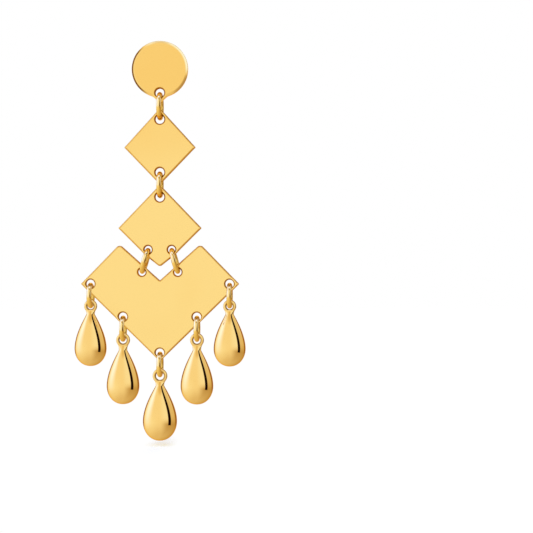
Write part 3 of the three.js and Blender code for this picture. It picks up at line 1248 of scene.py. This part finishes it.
@dataclass
class TasselEarring:
    """The whole earring. Holes sit where the rings' wire bears on them.

    Attributes:
        wire: radius of every jump ring's wire.
        play: what is left between a ring's wire and the metal that bears on it.
        sheet: thickness of the hanging plates.
        disc_sheet: thickness of the stud's disc.
        plate_edge: how far in the tumbled edge of a hanging plate reaches.
        disc_edge: how far in the disc's coined edge reaches.
        hole_rim: how far out from each hole its rounding reaches.
        chain_hole: radius of the holes that the top and middle rings hang in.
        hanger_hole: radius of the holes for the rings that carry the chevron.
        drop_hole: radius of the teardrops' holes in the chevron.
        loop_metal: radius of the teardrops' loop metal that their height is worked out from.
        top_ring: Z and outside radius of the ring on the stud.
        middle_ring: Z and outside radius of the ring between the diamonds.
        hanger_ring: X, Z, outside radius and splay of the right ring that carries the chevron.
        upper_corners: the corners of the upper diamond's right half, from top to bottom.
        lower_corners: those of the lower diamond's.
        chevron_corners: those of the chevron's.
        centre_drop: the teardrop in the middle.
        right_drops: the teardrops right of it.
    """

    wire: float = 0.46
    play: float = 0.12
    sheet: float = 1.0
    disc_sheet: float = 1.2
    plate_edge: float = 0.37
    disc_edge: float = 0.52
    hole_rim: float = 0.32
    chain_hole: float = 0.84
    hanger_hole: float = 0.7
    drop_hole: float = 0.8
    loop_metal: float = 0.32
    top_ring: tuple[float, float] = (-7.03, 2.7)
    middle_ring: tuple[float, float] = (-21.95, 2.55)
    hanger_ring: tuple[float, float, float, float] = (2.835, -36.4, 2.55, 15.5)
    upper_corners: tuple[Corner, ...] = (
        Corner(0, -7.42, 0.5),
        Corner(6.8, -14.86, 0.2),
        Corner(0, -21.92, 1.1),
    )
    lower_corners: tuple[Corner, ...] = (
        Corner(0, -21.93, 1.1),
        Corner(7.94, -30.19, 0.2),
        Corner(2.56, -35.53, 2.0),
        Corner(0, -37.54, 0.6),
    )
    chevron_corners: tuple[Corner, ...] = (
        Corner(0, -40.11, 0.15),
        Corner(7.71, -33.23, 0.8),
        Corner(15.1, -40.78, 0.2),
        Corner(0, -55.49, 0.5),
    )
    centre_drop: Drop = Drop("centre", 0.0, -56.07, 2.45, 1.41, 1.8, 8.6, 12.3, 3.24)
    right_drops: tuple[Drop, ...] = (
        Drop("middle_right", 7.05, -49.29, 2.5, 1.33, 1.9, 8.72, 12.21, 3.1),
        Drop("outer_right", 13.27, -42.99, 2.45, 1.25, 1.5, 8.05, 11.42, 3.03),
    )

    def drops(self) -> list[Drop]:
        """The five teardrops with their rings, from left to right. The left ones mirror the right."""
        left = [replace(d, place=d.place.replace("right", "left"), x=-d.x) for d in self.right_drops]
        return [*reversed(left), self.centre_drop, *self.right_drops]

    def hole(
        self, x: float, z: float, outer: float, end: RingEnd, radius: float, splay: float = 0.0
    ) -> Hole:
        """The hole that a ring's wire runs through.

        Args:
            x: the ring centre's X.
            z: the ring centre's Z.
            outer: the ring's outside radius.
            end: the ring's end that runs through it.
            radius: the hole's radius.
            splay: the ring's lean, in degrees.

        Returns:
            The hole, in the sheet of the plate at that end.
        """
        distance = end.value * (outer - self.wire + radius - self.wire - self.play)
        lean = math.radians(splay)
        return Hole(x - distance * math.sin(lean), z + distance * math.cos(lean), radius)

    def plate(self, name: str, holes: list[Hole], corners: tuple[Corner, ...]) -> Plate:
        """The plan of one hanging plate, from its holes and its right half's corners."""
        return Plate(name, self.sheet, self.plate_edge, self.hole_rim, holes, corners=corners)

    def plates(self) -> list[Stud | Plate]:
        """The stud and the three hanging plates, with their holes.

        Returns:
            Their plans, from the top down.
        """
        stud_hole, upper_top = (self.hole(0.0, *self.top_ring, end, self.chain_hole) for end in RingEnd)
        upper_foot, lower_top = (self.hole(0.0, *self.middle_ring, end, self.chain_hole) for end in RingEnd)
        *hanger, splay = self.hanger_ring
        lower_right, chevron_right = (self.hole(*hanger, end, self.hanger_hole, splay) for end in RingEnd)
        lower_left, chevron_left = (replace(hole, x=-hole.x) for hole in (lower_right, chevron_right))
        drop_holes = [
            self.hole(d.x, d.ring_z, d.ring_outer, RingEnd.TOP, self.drop_hole) for d in self.drops()
        ]
        return [
            Stud(
                "stud_disc",
                self.disc_sheet,
                self.disc_edge,
                self.hole_rim,
                [stud_hole],
                buffed=WHOLLY_BUFFED,
                section=COINED,
            ),
            self.plate("upper_diamond", [upper_top, upper_foot], self.upper_corners),
            self.plate("lower_diamond", [lower_top, lower_right, lower_left], self.lower_corners),
            self.plate("chevron_plate", [chevron_right, chevron_left, *drop_holes], self.chevron_corners),
        ]

    def rings(self) -> list[JumpRing]:
        """Every jump ring.

        Returns:
            Their plans, from the top down.
        """
        x, z, outer, splay = self.hanger_ring
        return [
            JumpRing("top_ring", 0.0, *self.top_ring, self.wire),
            JumpRing("middle_ring", 0.0, *self.middle_ring, self.wire),
            JumpRing("hanger_ring_left", -x, z, outer, self.wire, -splay),
            JumpRing("hanger_ring_right", x, z, outer, self.wire, splay),
            *(JumpRing(f"drop_ring_{d.place}", d.x, d.ring_z, d.ring_outer, self.wire) for d in self.drops()),
        ]

    def teardrops(self) -> list[Teardrop]:
        """The five teardrops, each with its loop hung on the lowest wire of its ring.

        Returns:
            Their plans, from left to right.
        """
        plans = []
        for d in self.drops():
            wire_z = d.ring_z - (d.ring_outer - self.wire)
            loop_z = wire_z - (d.loop - 2 * self.loop_metal - self.wire - self.play)
            sizes = d.loop, d.neck, d.widest, d.bottom, d.radius
            plans.append(Teardrop(f"teardrop_{d.place}", d.x, loop_z, *sizes))
        return plans

    def build(self, body_of: dict[str, str]) -> None:
        """Builds every piece, puts it on its CAD body and lets it stand for its CAD node.

        Args:
            body_of: the CAD body of each node.
        """
        finishes = (SHEET_GOLD, SHEARED_GOLD, PUNCHED_GOLD, WIRE_GOLD, CAST_GOLD)
        sheet, sheared, punched, wire, cast = (finish.build() for finish in finishes)
        groups = (
            ("gold_plate", [sheet, sheared, punched], self.plates()),
            ("gold_wire", [wire], self.rings()),
            ("gold_cast", [cast], self.teardrops()),
        )
        for slot, materials, pieces in groups:
            for plan in pieces:
                piece = plan.build(materials)
                piece.name = f"{plan.name}_finished"
                # mirrors leave out the lowest pieces, which made busy dark patches in them
                piece.visible_glossy = not plan.name.startswith(("teardrop", "chevron", "drop_ring"))
                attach(piece, body_of[plan.name])
                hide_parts(plan.name)
                log.info("%s: %d faces", piece.name, len(piece.data.polygons))


# ---------------------------------------------------------------- studio


@dataclass(frozen=True)
class Glow:
    """A light's colour and brightness.

    Attributes:
        colour: its sRGB hex value.
        strength: how bright it is against a white card.
    """

    colour: str
    strength: float

    def rgba(self) -> tuple[float, float, float, float]:
        """The linear colour times the strength, opaque."""
        red, green, blue, alpha = linear(self.colour)
        return red * self.strength, green * self.strength, blue * self.strength, alpha


@dataclass(frozen=True)
class Panel:
    """A soft light, a dark flag or a bounce card, far away on the studio's sphere.

    Azimuth is in degrees from the front (-Y), growing towards +X. Elevation is above the horizon.
    A bound of 200 degrees lies past every direction.

    Attributes:
        azimuth: its middle and half its width.
        elevation: its foot and its head.
        softness: over how many degrees its sides, its foot and its head fade.
        foot: its light at the lower end of its ramp.
        head: its light at the upper end, if it isn't the same.
        ramp: the elevations between which foot turns to head.
        lean: how far its middle has moved back against azimuth where the bend ends.
    """

    azimuth: tuple[float, float]
    elevation: tuple[float, float]
    softness: tuple[float, float, float]
    foot: Glow
    head: Glow | None = None
    ramp: tuple[float, float] = (-90.0, 90.0)
    lean: float = 0.0

    def mask(
        self,
        tree: bpy.types.NodeTree,
        azimuth: bpy.types.NodeSocket,
        elevation: bpy.types.NodeSocket,
        bend: bpy.types.NodeSocket,
    ) -> bpy.types.NodeSocket:
        """How far the panel fills a direction.

        It is the product of three smooth steps: across the azimuth, at the foot and at the head.
        The middle moves by the lean times the bend.

        Args:
            tree: the world's nodes.
            azimuth: the direction's azimuth.
            elevation: its elevation.
            bend: how far leaning panels have moved at that elevation, from 0 to 1.

        Returns:
            The share, from 0 outside the panel to 1 well inside it.
        """
        middle, half = self.azimuth
        foot, head = self.elevation
        side_fade, foot_fade, head_fade = (degrees / 2 for degrees in self.softness)
        offset = add_node(
            tree, "ShaderNodeMath", {0: bend, 1: self.lean, 2: -middle}, operation="MULTIPLY_ADD"
        ).outputs[0]
        turned = add_node(tree, "ShaderNodeMath", {0: azimuth, 1: offset}, operation="ADD").outputs[0]
        wrapped = add_node(
            tree, "ShaderNodeMath", {0: turned, 1: 180.0, 2: -180.0}, operation="WRAP"
        ).outputs[0]
        aside = add_node(tree, "ShaderNodeMath", {0: wrapped}, operation="ABSOLUTE").outputs[0]
        side, lower, upper = (
            add_node(
                tree,
                "ShaderNodeMapRange",
                {"Value": value, "From Min": outside, "From Max": inside},
                interpolation_type="SMOOTHSTEP",
            ).outputs["Result"]
            for value, outside, inside in (
                (aside, half + side_fade, half - side_fade),
                (elevation, foot - foot_fade, foot + foot_fade),
                (elevation, head + head_fade, head - head_fade),
            )
        )
        above = add_node(tree, "ShaderNodeMath", {0: side, 1: lower}, operation="MULTIPLY").outputs[0]
        return add_node(tree, "ShaderNodeMath", {0: above, 1: upper}, operation="MULTIPLY").outputs[0]

    def light(
        self, tree: bpy.types.NodeTree, elevation: bpy.types.NodeSocket
    ) -> bpy.types.NodeSocket | tuple:
        """The panel's own light, which goes evenly from its foot's to its head's along its ramp.

        Args:
            tree: the world's nodes.
            elevation: the direction's elevation.

        Returns:
            The light, or its plain colour where it is the same all over.
        """
        if self.head is None:
            return self.foot.rgba()
        low, high = self.ramp
        height = add_node(
            tree, "ShaderNodeMapRange", {"Value": elevation, "From Min": low, "From Max": high}
        ).outputs["Result"]
        return add_node(
            tree,
            "ShaderNodeMix",
            {0: height, 6: self.foot.rgba(), 7: self.head.rgba()},
            data_type="RGBA",
        ).outputs[2]


@dataclass
class Studio:
    """Plain soft light all round, a pale floor and the camera.

    Attributes:
        panels: what surrounds the earring, each laid over those before it.
        bend: between which elevations a leaning panel bends, in degrees.
        floor_z: height of the floor.
        floor_radius: the floor's radius.
        frost: how far from under the lowest teardrop the floor's frosting starts to fade, and ends.
        frost_shape: what a step along X, Y and Z counts for in those distances.
        frost_top: the colour of the frosting's top.
        glow: what the floor's frosting glows with by itself.
        table: what the clear floor glows with.
        camera_distance: from the camera to the middle of its view.
        camera_azimuth: which side the camera stands on, in degrees from the front towards +X.
        view_centre: how far right of the earring, and at what height, the view is centred.
        lens: focal length on a 36 mm sensor.
    """

    panels: tuple[Panel, ...] = (
        # a pale card in front, a little brighter towards the right
        Panel((0, 200), (-200, 200), (1, 1, 1), Glow("#FFF8FA", 0.99)),
        Panel((73, 52), (3, 93), (48, 28, 1), Glow("#E9EBFF", 1.24)),
        # the table, warmer and dimmer the steeper it is seen
        Panel((0, 200), (-200, -35), (1, 1, 84), Glow("#FFEDDD", 0.8)),
        # a bounce card low on the left, and the large cool window over it
        Panel((-77, 45), (-55, 13), (70, 40, 40), Glow("#FFF2E7", 0.9), Glow("#F3F3FF", 1.15), (-55, -7)),
        Panel((-95, 26), (0, 44), (48, 66, 22), Glow("#A6B5FF", 3.03)),
        # the ceiling: a dim cove, then a light overhead
        Panel((0, 200), (51, 200), (1, 8, 1), Glow("#FFE4BC", 0.8)),
        Panel((0, 90), (68, 200), (40, 8, 1), Glow("#AEBDFF", 2.6)),
        # the right wall, warm at its foot, with the dim lower room in front of it
        Panel((115, 43), (-200, 59), (14, 1, 10), Glow("#FFE9C8", 0.76), Glow("#FFF6F3", 0.85), (-7, 43)),
        Panel((111, 75), (-200, -4), (66, 1, 26), Glow("#FFECD9", 0.775), Glow("#FFDCAE", 0.56), (-87, -12)),
        # a strip light behind on the right, and the dark room behind
        Panel((129, 7), (16, 62), (8, 12, 12), Glow("#E7E7FF", 1.25)),
        Panel((180, 47), (-12, 200), (12, 12, 1), Glow("#FFC070", 0.36)),
        Panel((180, 88), (48, 200), (20, 16, 1), Glow("#FFC070", 0.36)),
        Panel((180, 15), (-20, 56), (8, 10, 10), Glow("#FFF3DF", 0.95)),
        # a narrow black flag on the right that bends over the top
        Panel((76, 11), (-17, 65), (4, 2, 6), Glow("#C06000", 0.02), lean=34.0),
    )
    bend: tuple[float, float] = (-15.0, 57.0)
    floor_z: float = -71.4
    floor_radius: float = 900.0
    frost: tuple[float, float] = (0.5, 5.5)
    frost_shape: tuple[float, float, float] = (1.5, 0.27, 1.0)
    frost_top: str = "#E2F1F9"
    glow: Glow = Glow("#FFFBDF", 0.41)
    table: Glow = Glow("#FFFFFF", 1.01)
    camera_distance: float = 281.3
    camera_azimuth: float = 2.9
    view_centre: tuple[float, float] = (20.235, -37.47)
    lens: float = 100.0

    def world(self) -> None:
        """Builds the light round the earring. The camera itself sees plain white behind it.

        A direction's azimuth is the angle of its level part, and its elevation the arcsine of its
        height. Each panel's light is mixed over what is there by its mask. Leaning panels move with
        the sixth power of how far through the bend the direction is.
        """
        world = bpy.data.worlds.new("studio")
        bpy.context.scene.world = world
        world.use_nodes = True
        tree = world.node_tree
        tree.nodes.clear()
        direction = add_node(tree, "ShaderNodeTexCoord").outputs["Generated"]
        parts = add_node(tree, "ShaderNodeSeparateXYZ", {"Vector": direction}).outputs
        front = add_node(tree, "ShaderNodeMath", {0: parts["Y"], 1: -1.0}, operation="MULTIPLY").outputs[0]
        angle = add_node(tree, "ShaderNodeMath", {0: parts["X"], 1: front}, operation="ARCTAN2").outputs[0]
        azimuth = add_node(tree, "ShaderNodeMath", {0: angle}, operation="DEGREES").outputs[0]
        rise = add_node(tree, "ShaderNodeMath", {0: parts["Z"]}, operation="ARCSINE").outputs[0]
        elevation = add_node(tree, "ShaderNodeMath", {0: rise}, operation="DEGREES").outputs[0]
        start, end = self.bend
        way = add_node(tree, "ShaderNodeMapRange", {"Value": elevation, "From Min": start, "From Max": end})
        bend = add_node(
            tree, "ShaderNodeMath", {0: way.outputs["Result"], 1: 6.0}, operation="POWER"
        ).outputs[0]

        light: bpy.types.NodeSocket | tuple = (0.0, 0.0, 0.0, 1.0)
        for panel in self.panels:
            mask = panel.mask(tree, azimuth, elevation, bend)
            glow = panel.light(tree, elevation)
            light = add_node(tree, "ShaderNodeMix", {0: mask, 6: light, 7: glow}, data_type="RGBA").outputs[2]

        around = add_node(tree, "ShaderNodeBackground", {"Color": light, "Strength": 1.0})
        behind = add_node(tree, "ShaderNodeBackground", {"Color": (1.0, 1.0, 1.0, 1.0), "Strength": 1.0})
        seen = add_node(tree, "ShaderNodeLightPath").outputs["Is Camera Ray"]
        mix = add_node(
            tree,
            "ShaderNodeMixShader",
            {0: seen, 1: around.outputs["Background"], 2: behind.outputs["Background"]},
        )
        add_node(tree, "ShaderNodeOutputWorld", {"Surface": mix.outputs["Shader"]})

    def table_top(self) -> bpy.types.Material:
        """White acrylic lit from below, frosted only under the earring.

        The frosted patch has a warm glow and a cool top. Together they are white, and where the
        earring shades the top the warm glow is left, so a soft warm shadow shows there. Round it
        the table only glows.

        Returns:
            A new material that follows Object coordinates.
        """
        material = bpy.data.materials.new("white_acrylic_light_table")
        material.use_nodes = True
        tree = material.node_tree
        tree.nodes.clear()
        place = add_node(tree, "ShaderNodeTexCoord").outputs["Object"]
        foot = (0.0, HANG_Y * MM, self.floor_z * MM)
        from_foot = add_node(tree, "ShaderNodeVectorMath", {0: place, 1: foot}, operation="SUBTRACT")
        shaped = add_node(
            tree, "ShaderNodeVectorMath", {0: from_foot.outputs[0], 1: self.frost_shape}, operation="MULTIPLY"
        )
        aside = add_node(tree, "ShaderNodeVectorMath", {0: shaped.outputs[0]}, operation="LENGTH")
        inside, outside = self.frost
        frosted = add_node(
            tree,
            "ShaderNodeMapRange",
            {"Value": aside.outputs["Value"], "From Min": outside * MM, "From Max": inside * MM},
            interpolation_type="SMOOTHSTEP",
        )
        top = add_node(tree, "ShaderNodeBsdfDiffuse", {"Color": linear(self.frost_top)})
        glow, clear = (
            add_node(
                tree,
                "ShaderNodeEmission",
                {"Color": linear(light.colour), "Strength": light.strength},
            )
            for light in (self.glow, self.table)
        )
        both = add_node(tree, "ShaderNodeAddShader", {0: top.outputs["BSDF"], 1: glow.outputs["Emission"]})
        mix = add_node(
            tree,
            "ShaderNodeMixShader",
            {0: frosted.outputs["Result"], 1: clear.outputs["Emission"], 2: both.outputs["Shader"]},
        )
        add_node(tree, "ShaderNodeOutputMaterial", {"Surface": mix.outputs["Shader"]})
        return material

    def floor(self) -> None:
        """Builds the floor: a large flat disc, whose rim is a circle at the floor's height."""
        around = full_turn(96)
        rim = self.floor_radius * np.stack([np.cos(around), np.sin(around), np.zeros_like(around)], axis=-1)
        rim[:, 2] = self.floor_z
        mesh = bpy.data.meshes.new("floor")
        mesh.from_pydata((rim * MM).tolist(), [], [tuple(range(len(rim)))])
        mesh.materials.append(self.table_top())
        floor = bpy.data.objects.new("floor", mesh)
        bpy.context.scene.collection.objects.link(floor)
        floor.visible_glossy = False  # mirrors show the table among the panels instead

    def camera(self) -> None:
        """Places the camera level with the middle of its view, turned straight at it."""
        turn = math.radians(self.camera_azimuth)
        right = Vector((math.cos(turn), math.sin(turn), 0.0))
        towards_camera = Vector((math.sin(turn), -math.cos(turn), 0.0))
        aside, height = self.view_centre
        aim = Vector((0.0, HANG_Y, height)) + aside * right
        data = bpy.data.cameras.new("camera")
        data.sensor_width = 36.0
        data.lens = self.lens
        data.clip_start = 0.01
        data.clip_end = 10.0
        camera = bpy.data.objects.new("camera", data)
        camera.location = (aim + self.camera_distance * towards_camera) * MM
        camera.rotation_euler = (math.pi / 2, 0.0, turn)
        bpy.context.scene.collection.objects.link(camera)
        bpy.context.scene.camera = camera

    def build(self) -> None:
        """Builds the light, the floor and the camera, and shows colours as they are."""
        self.world()
        self.floor()
        self.camera()
        bpy.context.scene.view_settings.view_transform = "Standard"


def main() -> None:
    """Loads the frame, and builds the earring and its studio."""
    logging.basicConfig(level=logging.INFO, format="%(name)s: %(message)s")
    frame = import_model()
    body_of = {node: body for body, nodes in frame["record"]["behaviour"]["bodies"].items() for node in nodes}
    TasselEarring().build(body_of)
    Studio().build()


if __name__ == "__main__":
    main()
